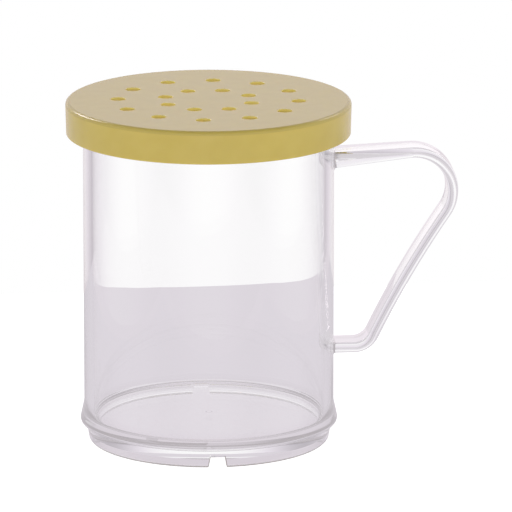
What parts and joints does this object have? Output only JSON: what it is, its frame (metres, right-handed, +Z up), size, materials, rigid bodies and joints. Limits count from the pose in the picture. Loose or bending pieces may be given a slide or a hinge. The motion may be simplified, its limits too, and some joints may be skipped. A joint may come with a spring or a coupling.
{
  "type": "spice shaker",
  "caption": "Clear cylindrical cup with an angular side handle, a beaded base on a notched foot ring, and a round push-on lid with two circles of sprinkle holes.",
  "frame": {"origin": "on the cup's axis, in the plane of the table that the foot ring stands on", "axes": "+Z up along the cup's axis, +X towards the handle, -Y to the front"},
  "size_m": [0.114, 0.083, 0.101],
  "materials": {
    "clear_cup": "polished clear polycarbonate",
    "yellow_lid": "moulded mustard yellow plastic with a soft gloss"
  },
  "bodies": {
    "cup": {"cup_wall": "clear_cup", "cup_rim": "clear_cup", "cup_floor": "clear_cup", "base_bead": "clear_cup", "foot_ring": "clear_cup", "handle": "clear_cup"},
    "lid": {"lid_top": "yellow_lid", "lid_skirt": "yellow_lid", "snap_ridge": "yellow_lid", "sealing_ring": "yellow_lid"}
  },
  "joints": [
    {"name": "lid_lift", "type": "slide", "parent": "cup", "child": "lid", "axis": [0, 0, 1], "range_m": [0, 0.05]}
  ]
}
